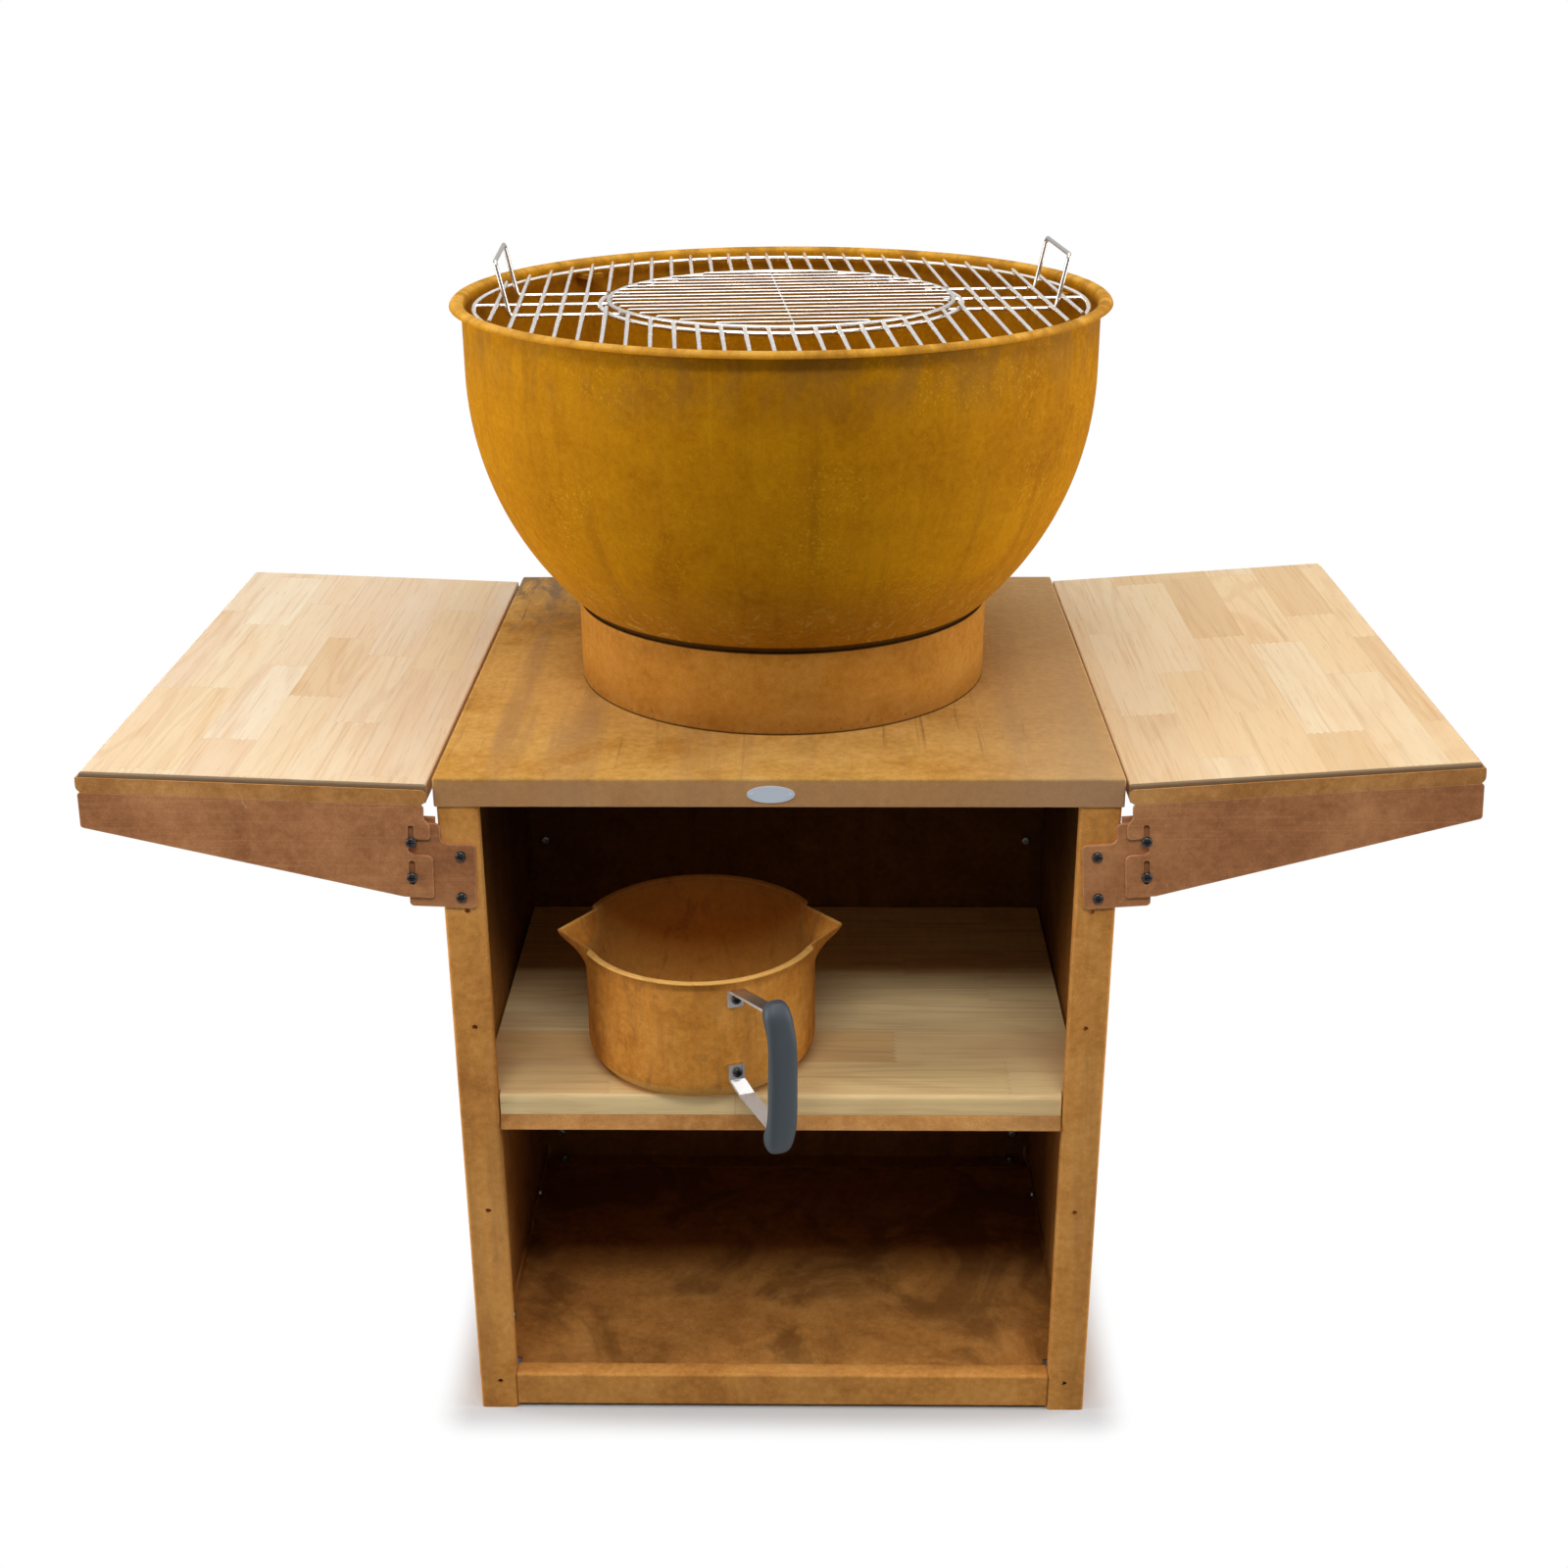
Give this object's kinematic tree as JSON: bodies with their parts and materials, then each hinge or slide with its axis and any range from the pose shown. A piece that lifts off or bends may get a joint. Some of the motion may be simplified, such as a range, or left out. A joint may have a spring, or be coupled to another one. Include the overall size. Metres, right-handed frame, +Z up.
{
  "type": "outdoor kitchen",
  "caption": "Rust-steel outdoor kitchen: fire bowl with lift-out grates on a collar, open cabinet with shelf and pot, and wooden drop-leaf side tables.",
  "frame": {"origin": "on the ground, at the middle of the four foot fixing holes of the cabinet", "axes": "+X to the right table as seen from the open front, +Y to the rear, +Z up"},
  "size_m": [1.2167, 0.6732, 1.084],
  "materials": {
    "bowl_rust": "golden-orange rust patina, fine mottling",
    "top_rust": "orange rust patina with grey-brown streaks",
    "cabinet_rust": "orange-brown rust patina",
    "arm_rust": "red-brown rust patina, worn light edges",
    "pot_rust": "brown-orange rust patina",
    "rubberwood": "oiled finger-jointed staves",
    "chrome_wire": "bright chromed wire",
    "black_screw": "black oxide",
    "zinc": "zinc plated",
    "plate_alu": "satin",
    "grip_plastic": "slate grey, fine grain",
    "strap_steel": "polished stainless strip"
  },
  "bodies": {
    "cabinet": {"back_panel": "cabinet_rust", "bottom_tray": "cabinet_rust", "bracket_backings": "arm_rust", "bracket_nuts": "zinc", "bracket_screws": "black_screw", "cabinet_bolts": "zinc", "cabinet_nuts": "zinc", "collar_ring": "top_rust", "corner_angles": "cabinet_rust", "left_front_bracket": "arm_rust", "left_front_post": "cabinet_rust", "left_rear_bracket": "arm_rust", "left_rear_post": "cabinet_rust", "left_side_panel": "cabinet_rust", "lock_screws": "black_screw", "name_plate": "plate_alu", "name_plate_pins": "plate_alu", "pin_nuts": "zinc", "pivot_screws": "black_screw", "right_front_bracket": "arm_rust", "right_front_post": "cabinet_rust", "right_rear_bracket": "arm_rust", "right_rear_post": "cabinet_rust", "right_side_panel": "cabinet_rust", "shelf_board": "rubberwood", "shelf_tray": "cabinet_rust", "top_plate": "top_rust", "top_plate_nuts": "zinc", "top_plate_studs": "zinc"},
    "bowl": {"bowl_shell": "bowl_rust", "grate_lugs": "bowl_rust"},
    "main_grate": {"grate_bars": "chrome_wire", "grate_cross_wires": "chrome_wire", "grate_inner_ring": "chrome_wire", "grate_left_handle": "chrome_wire", "grate_outer_ring": "chrome_wire", "grate_right_handle": "chrome_wire", "grate_seats": "chrome_wire"},
    "centre_grate": {"centre_bars": "chrome_wire", "centre_cross_bar": "chrome_wire", "centre_ring": "chrome_wire"},
    "left_bushes": {"left_pivot_bushes": "zinc"},
    "left_table": {"left_board_screws": "black_screw", "left_front_arm": "arm_rust", "left_rear_arm": "arm_rust", "left_table_board": "rubberwood", "left_table_tray": "arm_rust"},
    "right_bushes": {"right_pivot_bushes": "zinc"},
    "right_table": {"right_board_screws": "black_screw", "right_front_arm": "arm_rust", "right_rear_arm": "arm_rust", "right_table_board": "rubberwood", "right_table_tray": "arm_rust"},
    "pot": {"pot_grip": "grip_plastic", "pot_screws": "black_screw", "pot_shell": "pot_rust", "pot_straps": "strap_steel"}
  },
  "joints": [
    {"name": "bowl_lift", "type": "slide", "parent": "cabinet", "child": "bowl", "axis": [0, 0, 1], "range_m": [0, 0.3]},
    {"name": "main_grate_lift", "type": "slide", "parent": "bowl", "child": "main_grate", "axis": [0, 0, 1], "range_m": [0, 0.4]},
    {"name": "centre_grate_lift", "type": "slide", "parent": "main_grate", "child": "centre_grate", "axis": [0, 0, 1], "range_m": [0, 0.3]},
    {"name": "pot_pull_out", "type": "slide", "parent": "cabinet", "child": "pot", "axis": [0, -1, 0], "range_m": [0, 0.35]},
    {"name": "left_table_fold", "type": "hinge", "parent": "cabinet", "child": "left_bushes", "pos_m": [-0.32249, 0, 0.58521], "axis": [0, -1, 0], "range_deg": [0, 92.3]},
    {"name": "left_table_lift", "type": "slide", "parent": "left_bushes", "child": "left_table", "axis": [0.0401, 0, 0.9992], "range_m": [-0.013, 0.005]},
    {"name": "right_table_fold", "type": "hinge", "parent": "cabinet", "child": "right_bushes", "pos_m": [0.32243, 0, 0.58647], "axis": [0, 1, 0], "range_deg": [0, 94]},
    {"name": "right_table_lift", "type": "slide", "parent": "right_bushes", "child": "right_table", "axis": [-0.0698, 0, 0.9976], "range_m": [-0.013, 0.005]}
  ]
}
